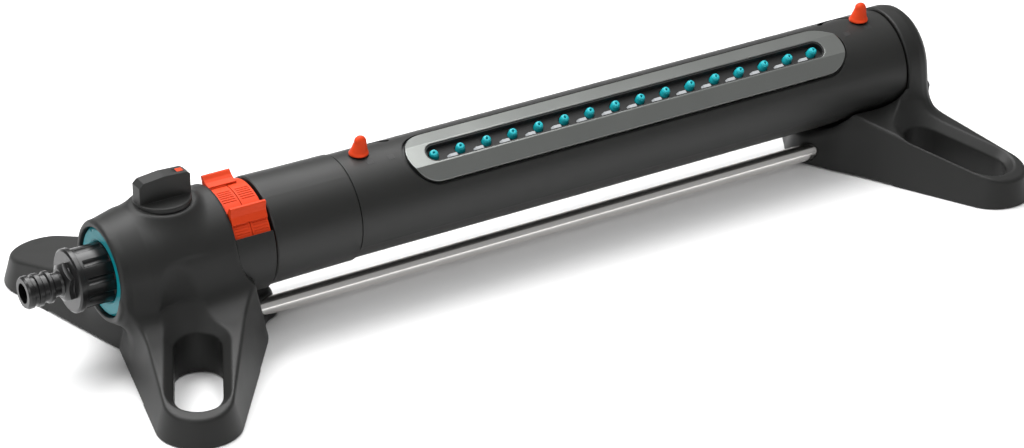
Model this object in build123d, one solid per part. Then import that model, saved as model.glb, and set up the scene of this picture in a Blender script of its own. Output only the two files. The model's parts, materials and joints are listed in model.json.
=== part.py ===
from build123d import *
import os
from math import cos, degrees, radians, sin, tan

# Oscillating lawn sprinkler: a spray tube swings between two footed end housings.
# Millimetres, +Z up, +X from the hose inlet to the far end, feet on z = 0.

# ---- Driving dimensions ----
AXIS_Z = 47.0          # height of the tube's axis
TUBE_R = 27.5          # outside radius of the spray tube
WALL = 2.5             # moulded wall
TILT = 29.5            # the nozzles lean this far from vertical at rest, towards -Y
GAP = 0.4              # air between parts that move past each other
FIT = 0.05             # running fit of shafts, on the radius
TOUCH = 0.02           # room between pieces that are joined

# Stations along X
TIP_X = -275.5         # hose nipple's mouth
FLANGE_X = -248.5      # connector flange
FACE_X = -232.5        # face of the filter ring
KNOB_X = -198.0        # flow knob
HOUSING_X1 = -171.5    # inner rim of the inlet housing
COLLAR_X1 = -150.6     # end of the sector collar
SLEEVE_X0 = -149.3     # start of the tube's inlet sleeve
SEAM_X = -100.0        # sleeve meets the main tube
TUBE_X1 = 238.5        # end of the tube
RING_X0 = 239.3        # inner rim of the end housing
RING_X1 = 255.0        # outer rim of the end housing

# Housings
HOUSING_R = 30.2
BORE_R = 26.5
COLLAR_R = 29.6
MOUTH_R = 23.2         # opening for the filter ring
WINDOW_EDGE = 64.0     # degrees round the collar to its window's front edge
RING_R = 28.9          # outside radius of the end housing's ring

# Feet: each leg is the hull of a tip circle and a root circle, with sloped walls
TIP_Y = 87.0
TIP_R = 22.0
LEFT_TIP_X = -225.0
RIGHT_TIP_X = 253.3
LEFT_ROOT = (-190.0, 12.0, 38.0)    # x, distance from the middle, radius
RIGHT_ROOT = (224.5, 12.0, 32.4)
WALL_LEAN = 15.0       # degrees from vertical
TIP_H = 13.6           # height of the top edge at the tip
TOP_SLOPE = 0.19       # rise of the leg's top per mm towards the body
LEG_DIR = 27.0         # degrees that a leg turns outward from across the tube
SLOT_W = 24.0
SLOT_OUT = 7.0         # slot's outer end beyond the tip circle's centre
SLOT_IN = 52.0         # slot's inner end, the other way
SLOT_LIP = 4.6         # chamfer round the slot's mouth
SLOT_TOP = 80.0        # height that a slot's cutter reaches, above any leg
CLEAR = 5.0            # how far a cutter runs past a face
LEG_SIDE = 3.2         # side wall of a hollow leg
LEG_SKIN = 3.0         # top wall of a hollow leg
HOLLOW_Y = 33.0        # the legs are hollow from here outwards
TONGUE_ROOT_R = 30.0   # half width of the inner tongue under the housing
TONGUE_TIP_R = 13.0    # half width of the inner tongue at its end
ARCH_L = 900.0         # length of the shallow relief under each foot's middle
ARCH_Y = 55.0          # half width of that relief
TONGUE_H = 14.0
ARCH_H = 0.6           # lift of the foot's middle off the ground

# Rod
ROD_R = 4.75
ROD_Y = -9.0
ROD_Z = 7.4
ROD_X0 = -166.0
ROD_X1 = 212.0

# Flow knob
KNOB_R = 14.7
KNOB_RIM_Z = 33.1      # top of the rim above the tube's axis
KNOB_RIM_H = 2.5
BOSS_Z = 16.0          # foot of the boss's cone above the tube's axis
GRIP_L = 28.0
GRIP_W = 8.0
GRIP_H = 12.5
SPINDLE_R = 3.5

# Nozzle strip, in the tube's own frame with the nozzles up
NOZZLES = 16
PITCH = 15.55
STRIP_X = 67.25        # middle of the row
FAN_STEP = 1.6         # degrees from one nozzle to the next
SURROUND_X0 = -65.8
SURROUND_X1 = 203.5
SURROUND_W = 14.8      # half width
SURROUND_TOP = 28.2
SURROUND_EDGE = 24.0
CHANNEL_X0 = -55.5
CHANNEL_X1 = 191.5
CHANNEL_W = 5.6
POCKET_R = 26.0
POCKET_EXTRA = 1.4

# Width levers
LEVER_X = (-76.0, 212.0)
LEVER_LEAN = -27.5     # degrees round the tube from the nozzle row
LEVER_ARM = 11.5
LEVER_SWEEP = 140.0

# Gears: the ring gear in the sleeve, the reduction gear and the turbine pinion
RING_TEETH = 40
RING_MODULE = 0.9
PINION_TEETH = 10
WHEEL_TEETH = 20
WHEEL_MODULE = 0.75
SHAFT_R = 1.5
WHEEL_X = -178.3       # start of the reduction wheel
TURBINE_X = -184.0     # middle of the turbine
CHAMBER_X0 = -188.2    # turbine chamber
CHAMBER_X1 = -171.6
CHAMBER_R = 25.2
NECK_R = 20.6
NECK_X1 = -128.4
SHAFT_Z = -RING_MODULE * (RING_TEETH - PINION_TEETH) / 2
TURBINE_Z = SHAFT_Z + WHEEL_MODULE * (WHEEL_TEETH + PINION_TEETH) / 2

UP = (Align.CENTER, Align.CENTER, Align.MIN)


def save(name, shape):
    """Write one node."""
    export_step(shape, f"parts/{name}.step")


def on_axis(shape):
    """Lift a shape drawn round the origin up to the tube's axis."""
    return Pos(0, 0, AXIS_Z) * shape


def on_tube(shape):
    """Place a shape drawn with the nozzles up at the tube's resting tilt."""
    return Pos(0, 0, AXIS_Z) * Rot(TILT, 0, 0) * shape


def rod_x(radius, x0, x1, y=0.0, z=0.0):
    """A cylinder along X."""
    return Pos(x0, y, z) * Rot(0, 90, 0) * Cylinder(radius, x1 - x0, align=UP)


def tube_x(outer, inner, x0, x1, y=0.0, z=0.0):
    """A tube along X."""
    return rod_x(outer, x0, x1, y, z) - rod_x(inner, x0 - 1, x1 + 1, y, z)


def rod_z(radius, z0, z1, x=0.0, y=0.0):
    """A cylinder along Z."""
    return Pos(x, y, z0) * Cylinder(radius, z1 - z0, align=UP)


def lathe_x(points):
    """Turn a closed outline of (x, radius) points about the X axis."""
    outline = make_face(Polyline(*[(x, 0, r) for x, r in points], close=True))
    return revolve(outline, Axis.X)


def prism_x(points, x0, x1):
    """Push a closed outline of (y, z) points along X."""
    outline = make_face(Polyline(*[(x0, y, z) for y, z in points], close=True))
    return extrude(outline, x1 - x0, dir=(1, 0, 0))


def polar(angle, radius):
    """A (y, z) point at an angle from +Z towards -Y."""
    return (-radius * sin(radians(angle)), radius * cos(radians(angle)))


def wedge(angle0, angle1, radius, x0, x1):
    """A pie slice round the X axis, up to half a turn wide."""
    steps = 6
    angles = [angle0 + (angle1 - angle0) * i / steps for i in range(steps + 1)]
    return prism_x([(0, 0)] + [polar(a, radius) for a in angles], x0, x1)


def stadium(x0, x1, half_width, z0, z1):
    """An upright prism with round ends, its length along X."""
    outline = SlotOverall(x1 - x0, 2 * half_width)
    return Pos((x0 + x1) / 2, 0, z0) * extrude(outline, z1 - z0)


def torus_x(major, minor, x):
    """An O-ring round the X axis."""
    return Pos(x, 0, 0) * Rot(0, 90, 0) * Torus(major, minor)


# ---- Feet ----

def hull_plan(circles, inset, z):
    """The hull of two (x, y, radius) circles at a height, shrunk by an inset."""
    edges = ShapeList()
    for x, y, radius in circles:
        edges += (Pos(x, y) * Circle(radius - inset)).edges()
    return Pos(0, 0, z) * make_hull(edges).face()


def lean_prism(circles, height, inset=0.0):
    """A solid on the hull of two circles, its walls leaning in as they rise."""
    low = hull_plan(circles, inset, 0)
    high = hull_plan(circles, inset + height * tan(radians(WALL_LEAN)), height)
    return loft([low, high], ruled=True)


def leg_top(tip_x, side, drop):
    """The space under a leg's sloping top."""
    reach = 240.0
    turn = LEG_DIR * side
    climb = reach * TOP_SLOPE
    low = TIP_H - drop
    profile = Polyline((0, -60, -1), (0, reach, -1), (0, reach, low + climb), (0, 0, low),
                       (0, -60, low - 60 * TOP_SLOPE), close=True)
    block = Pos(-reach / 2, 0, 0) * extrude(make_face(profile), reach, dir=(1, 0, 0))
    edge_x = tip_x + side * TIP_R * sin(radians(LEG_DIR))
    edge_y = -TIP_Y - TIP_R * cos(radians(LEG_DIR))
    return Pos(edge_x, edge_y, 0) * Rot(0, 0, turn) * block


def leg(tip_x, root, side, inset=0.0, drop=0.0):
    """One leg on the -Y side; side is -1 for feet that splay to -X and 1 to +X."""
    root_x, root_y, root_r = root
    circles = [(tip_x, -TIP_Y, TIP_R), (root_x, -root_y, root_r)]
    return lean_prism(circles, AXIS_Z, inset) & leg_top(tip_x, side, drop)


def slot_place(tip_x, side):
    """The middle of a leg's slot, with X along the leg."""
    shift = (SLOT_IN - SLOT_OUT) / 2
    x = tip_x - side * shift * sin(radians(LEG_DIR))
    y = -TIP_Y + shift * cos(radians(LEG_DIR))
    return Pos(x, y, 0) * Rot(0, 0, 90 + side * LEG_DIR)


def slot_prism(tip_x, side, widen, z0, z1):
    """A leg's slot as an upright prism."""
    length = SLOT_IN + SLOT_OUT + 2 * widen
    outline = SlotOverall(length, SLOT_W + 2 * widen)
    return slot_place(tip_x, side) * Pos(0, 0, z0) * extrude(outline, z1 - z0)


def slot_funnel(tip_x, side):
    """The chamfer round a slot's mouth, which follows the leg's sloping top."""
    mid = (SLOT_IN + SLOT_OUT) / 2 + TIP_R - SLOT_OUT
    height = TIP_H + TOP_SLOPE * mid
    pitch = degrees(TOP_SLOPE)
    outline = SlotOverall(SLOT_IN + SLOT_OUT + 2 * SLOT_LIP, SLOT_W + 2 * SLOT_LIP)
    funnel = extrude(outline, SLOT_LIP + 1, taper=45)
    above = extrude(outline, 8)
    cut = Rot(180, 0, 0) * funnel + above
    return slot_place(tip_x, side) * Pos(0, 0, height) * Rot(0, -pitch, 0) * cut


def both_sides(shape):
    """A shape and its mirror image across the XZ plane."""
    return shape + mirror(shape, Plane.XZ)


def front_only(shape):
    """A shape kept on the -Y side alone."""
    return shape


def foot(tip_x, root, side, tongue_x, body, slotted):
    """A pair of legs under a housing body, hollow from below; slotted copies a cut to its legs."""
    legs = both_sides(leg(tip_x, root, side))
    root_x = root[0]
    tongue = lean_prism([(root_x, 0, TONGUE_ROOT_R), (tongue_x, 0, TONGUE_TIP_R)], TONGUE_H)
    solid = legs + tongue + body
    middle = Pos(root_x, 0, 0) * Box(2 * AXIS_Z + TIP_Y, 2 * HOLLOW_Y, 4 * AXIS_Z)
    hollow = both_sides(leg(tip_x, root, side, inset=LEG_SIDE, drop=LEG_SKIN) - middle)
    hollow = hollow - slotted(slot_prism(tip_x, side, SLOT_LIP + WALL, -CLEAR, SLOT_TOP))
    arch = Pos(0, 0, ARCH_H / 2) * Box(ARCH_L, 2 * ARCH_Y, ARCH_H)
    cuts = slotted(slot_prism(tip_x, side, 0, -CLEAR, SLOT_TOP) + slot_funnel(tip_x, side))
    return solid - hollow - arch - cuts


def inlet_body():
    """The inlet housing's round body with its knob boss."""
    barrel = lathe_x([(FACE_X - 1.5, 0), (FACE_X - 1.5, 25.3), (FACE_X, 26.6), (FACE_X + 3.5, 27.0),
                      (FACE_X + 14, 29.6), (FACE_X + 22, HOUSING_R), (HOUSING_X1, HOUSING_R),
                      (HOUSING_X1, 0)])
    top = KNOB_RIM_Z - KNOB_RIM_H - GAP
    boss = Pos(KNOB_X, 0, BOSS_Z) * Rot(0, 0, 180) * Cone(24, 16.2, top - BOSS_Z, align=UP)
    return on_axis(barrel + boss)


def inlet_housing():
    """The inlet end: body, legs, and the bores for filter, valve and gearbox."""
    shell = foot(LEFT_TIP_X, LEFT_ROOT, -1, -150.0, inlet_body(), front_only)
    bores = (rod_x(BORE_R, FACE_X + 14, 0) + rod_x(21.4, FACE_X + 3, 0)
             + rod_x(MOUTH_R, FACE_X - 10, FACE_X + 5))
    spindle = rod_z(SPINDLE_R + FIT, 20, 60, KNOB_X) + rod_z(SPINDLE_R + 1.6, 26.5, 60, KNOB_X)
    sweep = rod_x(COLLAR_R + 0.1, HOUSING_X1, 0)
    holes = rod_x(ROD_R, ROD_X0 - 0.2, 0, ROD_Y, ROD_Z)
    plate = base_plate(-193.0, 48.0, 36.0, TOUCH)
    screws = screw_holes(-193.0, 40.0, 28.0)
    for cut in (bores, spindle, sweep):
        shell -= on_axis(cut)
    return shell - holes - plate - screws


def end_housing():
    """The far end: ring, legs, and the bore for the tube's end bearing."""
    body = on_axis(lathe_x([(RING_X0, 0), (RING_X0, RING_R), (RING_X1 - 8, RING_R),
                            (RING_X1 - 4, RING_R - 1.0), (RING_X1 - 1.2, RING_R - 3.6),
                            (RING_X1, RING_R - 8), (RING_X1, 0)]))
    shell = foot(RIGHT_TIP_X, RIGHT_ROOT, 1, 196.0, body, both_sides)
    bores = rod_x(BORE_R, 0, RING_X0 + 4) + rod_x(11, 0, RING_X0 + 12.5)
    sweep = rod_x(TUBE_R + 1.6, 0, RING_X0)
    holes = rod_x(ROD_R, 0, ROD_X1 + 0.2, ROD_Y, ROD_Z)
    plate = base_plate(232.0, 34.0, 36.0, TOUCH)
    screws = screw_holes(232.0, 26.0, 28.0)
    return shell - on_axis(bores + sweep) - holes - plate - screws


def base_plate(x, length, width, extra=0.0):
    """A cover let into a housing's underside."""
    outline = RectangleRounded(length + 2 * extra, width + 2 * extra, 5)
    return Pos(x, 0, ARCH_H) * extrude(outline, WALL + extra)


def corners(x, length, width):
    """The four corners of a rectangle in plan."""
    return [(x + i * length / 2, j * width / 2) for i in (-1, 1) for j in (-1, 1)]


def screw_holes(x, length, width):
    """Holes that a cover's screws run in."""
    holes = [rod_z(1.5, ARCH_H, 11, cx, cy) for cx, cy in corners(x, length, width)]
    return Part() + holes


def cover(x, length, width, screw_l, screw_w):
    """A base cover with its countersunk screw holes."""
    plate = base_plate(x, length, width)
    for cx, cy in corners(x, screw_l, screw_w):
        plate -= rod_z(1.5, 0, 20, cx, cy) + rod_z(2.6, 0, ARCH_H + 1.2, cx, cy)
    return plate


def screws(x, length, width):
    """A cover's screws: pan heads with a cross recess."""
    made = []
    for cx, cy in corners(x, length, width):
        body = rod_z(1.45, ARCH_H, 10.5, cx, cy) + rod_z(2.5, ARCH_H, ARCH_H + 1.2, cx, cy)
        slot = Pos(cx, cy, ARCH_H) * (Box(2.8, 0.6, 1.2) + Box(0.6, 2.8, 1.2))
        made.append(body - slot)
    return Compound(children=made)


# ---- Water inlet ----

def inlet_connector():
    """The hose nipple with its ring grooves, hexagon and flange."""
    nipple = lathe_x([(TIP_X, 5.2), (TIP_X, 7.6), (TIP_X + 1.2, 8.4), (TIP_X + 3.4, 8.4),
                      (TIP_X + 3.8, 7.4), (TIP_X + 5.6, 7.4), (TIP_X + 6.0, 8.4), (TIP_X + 8.4, 8.4),
                      (TIP_X + 9.0, 7.2), (TIP_X + 11.5, 7.2), (TIP_X + 12.2, 8.2),
                      (TIP_X + 14.0, 8.2), (TIP_X + 15.0, 6.2), (TIP_X + 18.5, 5.9),
                      (TIP_X + 20.5, 7.5), (FLANGE_X - 3.4, 9.5), (FLANGE_X - 3.4, 5.2)])
    facets = extrude(RegularPolygon(10.6, 6), 7)
    hexagon = Pos(FLANGE_X - 7.4, 0, 0) * Rot(0, 90, 0) * facets
    cone = lathe_x([(TIP_X + 18, 0), (TIP_X + 18, 5.0), (FLANGE_X - 3, 14.5), (FLANGE_X, 14.5),
                    (FLANGE_X, 0)])
    flange = lathe_x([(FLANGE_X - 3.2, 0), (FLANGE_X - 3.2, 15.4), (FLANGE_X - 2.4, 16.4),
                      (FLANGE_X, 16.4), (FLANGE_X, 9.5), (FACE_X + 1, 9.5), (FACE_X + 1, 0)])
    return nipple + (hexagon & cone) + flange - rod_x(5.2, TIP_X - 1, FACE_X + 2)


def connector_nut():
    """The ribbed nut that clamps the nipple to the filter ring."""
    body = tube_x(15.2, 9.5 + TOUCH, FLANGE_X, FACE_X + 3)
    lobes = 10
    for i in range(lobes):
        y, z = polar(360 * i / lobes, 16.2)
        body -= rod_x(2.3, FLANGE_X + 2.2, FACE_X + 0.2, y, z)
    return body


def filter_ring():
    """The screw-in ring that holds the filter, with a raised lip and finger notches."""
    ring = lathe_x([(FACE_X, 16.6), (FACE_X, 21.8), (FACE_X + 1.0, 22.9), (FACE_X + 5, 22.9),
                    (FACE_X + 5, 21.2), (FACE_X + 15, 21.2), (FACE_X + 15, 13.2),
                    (FACE_X + 12, 13.2), (FACE_X + 3 + TOUCH, 13.2), (FACE_X + 3 + TOUCH, 15.4),
                    (FACE_X + 0.8, 15.4)])
    for angle in (90, 210, 330):
        y, z = polar(angle, 21.4)
        ring -= rod_x(0.8, FACE_X - 1, FACE_X + 0.8, y, z)
    return ring


def filter_basket():
    """The strainer: a slotted cup behind the filter ring."""
    x0 = FACE_X + 12
    cup = tube_x(13.0, 11.8, x0, x0 + 14) + rod_x(13.0, x0 + 13, x0 + 14)
    bars = 12
    for i in range(bars // 2):
        cup -= Pos(x0 + 7, 0, 0) * Rot(360 * i / bars, 0, 0) * Box(8, 2.6, 40)
    return cup


def valve_body():
    """The cross bore that the flow valve's plug turns in."""
    x0 = KNOB_X - 8
    x1 = CHAMBER_X0 - 2.8
    body = rod_x(11, x0, x1) + rod_x(BORE_R - TOUCH, x1 - 2, x1)
    body += rod_z(6.9, 0, 18, KNOB_X)
    body -= rod_x(5, x0 - 1, x1 + 1)
    return body - rod_z(6 + FIT, -7, 30, KNOB_X)


# ---- Flow knob ----

def flow_knob():
    """The knob: rim, flat top and an arched bar grip."""
    rim = rod_z(KNOB_R, KNOB_RIM_Z - KNOB_RIM_H, KNOB_RIM_Z, KNOB_X)
    rim = fillet(rim.edges().filter_by(GeomType.CIRCLE).group_by(Axis.Z)[-1], 1.0)
    top = KNOB_RIM_Z + GRIP_H
    low = KNOB_RIM_Z - 1
    half = GRIP_L / 2
    side = make_face(Polyline((KNOB_X - half, 0, low), (KNOB_X + half, 0, low),
                              (KNOB_X + half, 0, top - 2.0), (KNOB_X + half - 2.0, 0, top - 0.6),
                              (KNOB_X, 0, top), (KNOB_X - half + 2.5, 0, top - 1.2),
                              (KNOB_X - half, 0, top - 3.4), close=True))
    grip = Pos(0, GRIP_W / 2, 0) * extrude(side, GRIP_W, dir=(0, -1, 0))
    grip = fillet(grip.edges().filter_by(GeomType.LINE).group_by(Axis.Z)[-1], 0.8)
    knob = rim + (grip & rod_z(KNOB_R, low, top + 1, KNOB_X))
    return knob - pointer_block(TOUCH)


def pointer_block(extra=0.0):
    """The inlay let into the grip's top at its +X end."""
    top = KNOB_RIM_Z + GRIP_H
    inlay = Box(10.4 + extra, 3.4 + 2 * extra, 2.6 + extra, align=UP)
    return Pos(KNOB_X + 6.2, 0, top - 3.0 - extra) * inlay


def valve_spindle():
    """The spindle and plug below the knob, with the plug's water port."""
    top = KNOB_RIM_Z - KNOB_RIM_H
    spindle = rod_z(SPINDLE_R, 8, top, KNOB_X) + rod_z(6, -6.5, 9, KNOB_X)
    return spindle - rod_x(4.2, KNOB_X - 10, KNOB_X + 10)


def spindle_seal():
    """The O-ring in the boss round the spindle."""
    return Pos(KNOB_X, 0, 27.2) * Torus(SPINDLE_R + 0.75, 0.7)


# ---- Gearbox ----

def gear_face(teeth, module, inside=False):
    """A gear's outline with straight-flanked teeth; inside gives an internal gear's bore."""
    pitch_r = teeth * module / 2
    addendum = 0.85 * module
    dedendum = 1.15 * module
    crown = pitch_r + (dedendum if inside else addendum)
    root = pitch_r - (addendum if inside else dedendum)
    half = 360 / teeth / 4
    at_root, at_crown = (1.30, 0.74) if inside else (1.22, 0.42)
    points = []
    for i in range(teeth):
        mid = 360 * i / teeth
        points.append(polar(mid - half * at_root, root))
        points.append(polar(mid - half * at_crown, crown))
        points.append(polar(mid + half * at_crown, crown))
        points.append(polar(mid + half * at_root, root))
    return points


def gear_x(teeth, module, x0, x1, turn=0.0, z=0.0):
    """An external gear along X."""
    return Pos(0, 0, z) * Rot(turn, 0, 0) * prism_x(gear_face(teeth, module), x0, x1)


def drive_gear():
    """The internal ring gear fixed in the tube's sleeve."""
    bore = prism_x(gear_face(RING_TEETH, RING_MODULE, inside=True), -127, -118)
    return rod_x(24.9, -126, -119) - Rot(-TILT, 0, 0) * bore


def reduction_wheel():
    """The wheel that the turbine's pinion turns."""
    wheel = gear_x(WHEEL_TEETH, WHEEL_MODULE, WHEEL_X, WHEEL_X + 4, 0.0, SHAFT_Z)
    hub = rod_x(3.0, WHEEL_X + 4, WHEEL_X + 6, 0, SHAFT_Z)
    return wheel + hub - rod_x(SHAFT_R, WHEEL_X - 1, WHEEL_X + 8, 0, SHAFT_Z)


def output_pinion():
    """The pinion that turns the tube's ring gear."""
    pinion = gear_x(PINION_TEETH, RING_MODULE, -126.4, -118.6, 0.0, SHAFT_Z)
    return pinion - rod_x(SHAFT_R, -130, -110, 0, SHAFT_Z)


def reduction_shaft():
    """The steel shaft of the reduction wheel and output pinion."""
    return rod_x(SHAFT_R, WHEEL_X - 2.8, -118.6, 0, SHAFT_Z)


def turbine_wheel():
    """The water turbine: a hub with curved buckets."""
    hub = rod_x(5.0, TURBINE_X - 2.4, TURBINE_X + 2.4, 0, TURBINE_Z)
    blades = 10
    for i in range(blades):
        blade = Pos(TURBINE_X, 0, 9) * Rot(0, 18, 0) * Box(1.0, 3.0, 9.6)
        hub += Pos(0, 0, TURBINE_Z) * Rot(360 * i / blades, 0, 0) * blade
    rim = tube_x(14.2, 13.2, TURBINE_X - 2.2, TURBINE_X + 2.2, 0, TURBINE_Z)
    return hub + rim - rod_x(SHAFT_R, TURBINE_X - 5, TURBINE_X + 5, 0, TURBINE_Z)


def turbine_shaft():
    """The turbine's steel shaft with its pinion."""
    half_tooth = 180 / PINION_TEETH
    pinion = gear_x(PINION_TEETH, WHEEL_MODULE, WHEEL_X + 0.2, WHEEL_X + 3.8, half_tooth, TURBINE_Z)
    return pinion + rod_x(SHAFT_R, CHAMBER_X0 - 1.4, CHAMBER_X1 + 2.1, 0, TURBINE_Z)


def gearbox_case():
    """The sealed case: a wide turbine chamber and a narrow neck with the water outlet."""
    outer = rod_x(CHAMBER_R, CHAMBER_X0, CHAMBER_X1) + rod_x(NECK_R, CHAMBER_X1, NECK_X1)
    inner = rod_x(CHAMBER_R - 2, CHAMBER_X0 - 1, CHAMBER_X1 - 1.6)
    inner += rod_x(NECK_R - 2, CHAMBER_X1 - 2, NECK_X1 - 2)
    spigot = rod_x(6.0, NECK_X1 - 1, -106)
    case = outer - inner + spigot - rod_x(4.4, -140, -100)
    return case - rod_x(SHAFT_R + FIT, -140, -120, 0, SHAFT_Z)


def turbine_plate():
    """The front plate that jets the water onto the turbine."""
    plate = rod_x(CHAMBER_R, CHAMBER_X0 - 2.8, CHAMBER_X0)
    for angle in (70, -70):
        y, z = polar(angle, 9.0)
        plate -= Pos(CHAMBER_X0, y, TURBINE_Z + z) * Rot(0, 90, 0) * Cylinder(1.6, 8)
    return plate - rod_x(SHAFT_R + FIT, CHAMBER_X0 - 1.6, CHAMBER_X0 + 1, 0, TURBINE_Z)


def bearing_plate():
    """The inner plate that carries both gear shafts."""
    plate = rod_x(NECK_R - 2 - TOUCH, -171.2, -169.6)
    plate -= rod_x(SHAFT_R + FIT, -175, -165, 0, SHAFT_Z)
    plate -= rod_x(SHAFT_R + FIT, -175, -165, 0, TURBINE_Z)
    for angle in (60, 120, 240, 300):
        y, z = polar(angle, 13)
        plate -= rod_x(2.5, -175, -165, y, z)
    return plate


def shaft_support():
    """The post in the turbine chamber that carries the reduction shaft's end."""
    arm = Pos(WHEEL_X - 1.7, 0, SHAFT_Z - 3.5) * Box(1.5, 7, 11)
    arm = arm & rod_x(CHAMBER_R - 2 - TOUCH, CHAMBER_X0, CHAMBER_X1)
    return arm - rod_x(SHAFT_R + FIT, CHAMBER_X0, CHAMBER_X1, 0, SHAFT_Z)


def reversing_lever():
    """The ring round the case's neck whose nose the sector stops trip."""
    ring = tube_x(22.6, NECK_R + FIT, -158, -154)
    nose = prism_x([polar(7, 22), polar(8, 24.4), polar(12, 24.4), polar(13, 22)], -158, -154)
    return ring + nose


# ---- Sector stops ----

def sector_collar():
    """The fixed collar, open at the top where the stops show."""
    ring = tube_x(COLLAR_R, 28.3, HOUSING_X1, COLLAR_X1)
    window = wedge(-78, WINDOW_EDGE, 60, HOUSING_X1 - 1, COLLAR_X1 + 1)
    return ring - window


def ribs(angle0, angle1, radius, x0, x1):
    """Fine grip grooves across a band."""
    step = 3.2
    count = int((angle1 - angle0) / step)
    cut = Part()
    for i in range(count + 1):
        y, z = polar(angle0 + i * step, radius + 0.25)
        groove = Pos((x0 + x1) / 2, y, z) * Rot(angle0 + i * step, 0, 0) * Box(x1 - x0, 0.7, 1.0)
        cut += groove
    return cut


def stop_band(x0, x1, angle0, angle1):
    """A sector stop's curved band with its ribbed grip areas."""
    ring = tube_x(28.0, 25.0, x0, x1) & (wedge(angle0, 0, 60, x0, x1) + wedge(0, angle1, 60, x0, x1))
    band = ring - ribs(7, 24, 28.0, x0 + 1.2, x1 - 1.2)
    return band - ribs(51, 62, 28.0, x0 + 1.0, x1 - 1.0)


def stop_tab(lip, foot_side, x0, x1, reach0, reach1):
    """A finger tab: a lip that stands up and sweeps down to its band."""
    s = foot_side
    low = prism_x([polar(lip - 3 * s, 27.5), polar(lip - 3 * s, 28.5), polar(lip + 12 * s, 28.5),
                   polar(lip + 12 * s, 27.5)], x0, x1)
    sweep = [polar(lip - 3 * s, 28.4), polar(lip - 3.2 * s, 30.5), polar(lip - 3.6 * s, 33.6),
             polar(lip - 1.6 * s, 34.2), polar(lip - 0.4 * s, 33.6), polar(lip + 1.4 * s, 31.8),
             polar(lip + 4 * s, 30.4), polar(lip + 8 * s, 29.6), polar(lip + 11 * s, 29.2),
             polar(lip + 11 * s, 28.4)]
    return low + prism_x(sweep, reach0, reach1)


def stop_nose(angle, x0, x1):
    """The inner nose that trips the reversing lever."""
    return prism_x([polar(angle - 3, 25.3), polar(angle - 2, 23.2), polar(angle + 2, 23.2),
                    polar(angle + 3, 25.3)], x0, x1)


def sector_stop_back():
    """The stop on the inlet side, with its tab near the top."""
    x0 = HOUSING_X1 + 0.5
    x1 = -161.3
    band = stop_band(x0, x1, -112, 112) + stop_tab(-16, 1, x0, x1, x0, -155.5)
    finger = tube_x(24.5, 23.2, -166, -154) & wedge(-36, -32, 60, -166, -154)
    return band + stop_nose(-34, -166, x1) + finger


def sector_stop_front():
    """The stop on the tube side, with its tab towards the front."""
    x0 = -160.9
    x1 = COLLAR_X1 - 0.6
    band = stop_band(x0, x1, -108, 108) + stop_tab(39, 1, x0, x1, HOUSING_X1 + 0.5, x1)
    return band + stop_nose(56, -158, -154)


# ---- Spray tube ----

def inlet_sleeve():
    """The tube's flared inlet sleeve, which carries the ring gear."""
    return lathe_x([(SLEEVE_X0, 25.0), (SLEEVE_X0, 28.0), (SLEEVE_X0 + 0.8, 28.5),
                    (SLEEVE_X0 + 20, 28.2), (SEAM_X - 0.9, 28.0), (SEAM_X - 0.5, 27.0),
                    (SEAM_X, 27.0), (SEAM_X, 25.0)])


def lever_frame(x):
    """The frame of a width lever: its pivot, with Z out of the tube."""
    return Pos(x, 0, 0) * Rot(LEVER_LEAN, 0, 0)


def lever_slot(index):
    """The curved slot that a width lever's post runs in."""
    start = 180 - LEVER_SWEEP if index == 0 else 0
    arc = CenterArc((0, 0), LEVER_ARM, start, LEVER_SWEEP)
    outline = SlotArc(arc, 2.8)
    return lever_frame(LEVER_X[index]) * Pos(0, 0, 12) * extrude(outline, 30)


def tube_upper_shell():
    """The tube's upper half, with the pocket and window for the nozzle strip."""
    shell = tube_x(TUBE_R, TUBE_R - WALL, SEAM_X, TUBE_X1)
    shell -= Pos(0, 0, -39) * Box(900, 100, 80)
    edge = POCKET_EXTRA
    pocket = stadium(SURROUND_X0 - edge, SURROUND_X1 + edge, SURROUND_W + edge, 5, 40)
    shell -= pocket - rod_x(POCKET_R, -200, 300)
    shell -= stadium(CHANNEL_X0 - 3, CHANNEL_X1 + 3, 10, 5, 40)
    return shell - lever_slot(0) - lever_slot(1)


def tube_lower_shell():
    """The tube's lower half, set back a little from the upper one."""
    shell = tube_x(TUBE_R - 0.3, TUBE_R - WALL, SEAM_X, TUBE_X1)
    shell -= Pos(0, 0, 41 - TOUCH) * Box(900, 100, 80)
    for x in screw_stations():
        shell -= rod_z(1.5, -40, -20, x) + rod_z(3.0, -40, -TUBE_R + 1.5, x)
    return shell


def screw_stations():
    """Where the lower shell's screws sit along the tube."""
    count = 5
    return [SEAM_X + 30 + i * (TUBE_X1 - SEAM_X - 60) / (count - 1) for i in range(count)]


def tube_screws():
    """The screws that hold the shells to the water pipe."""
    made = []
    for x in screw_stations():
        body = rod_z(1.45, -TUBE_R + 1.3, -9.5, x) + rod_z(2.8, -TUBE_R + 0.3, -TUBE_R + 1.5, x)
        made.append(body - Pos(x, 0, -TUBE_R) * (Box(3.4, 0.7, 1.4) + Box(0.7, 3.4, 1.4)))
    return Compound(children=made)


def nozzle_surround():
    """The faceted stadium trim round the nozzle channel."""
    body = stadium(SURROUND_X0, SURROUND_X1, SURROUND_W, 15, 40)
    half = SURROUND_W + 1
    edge = SURROUND_EDGE - 0.4
    section = [(-half, 10), (half, 10), (half, edge), (6.4, SURROUND_TOP), (-6.4, SURROUND_TOP),
               (-half, edge)]
    body = body & prism_x(section, SURROUND_X0 - 5, SURROUND_X1 + 5)
    body -= stadium(CHANNEL_X0, CHANNEL_X1, CHANNEL_W, 10, 40)
    return body - rod_x(POCKET_R + TOUCH, -200, 300)


def nozzle_stations():
    """Each nozzle's place along the row and its lean."""
    middle = (NOZZLES - 1) / 2
    return [(STRIP_X + (i - middle) * PITCH, (i - middle) * FAN_STEP) for i in range(NOZZLES)]


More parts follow.
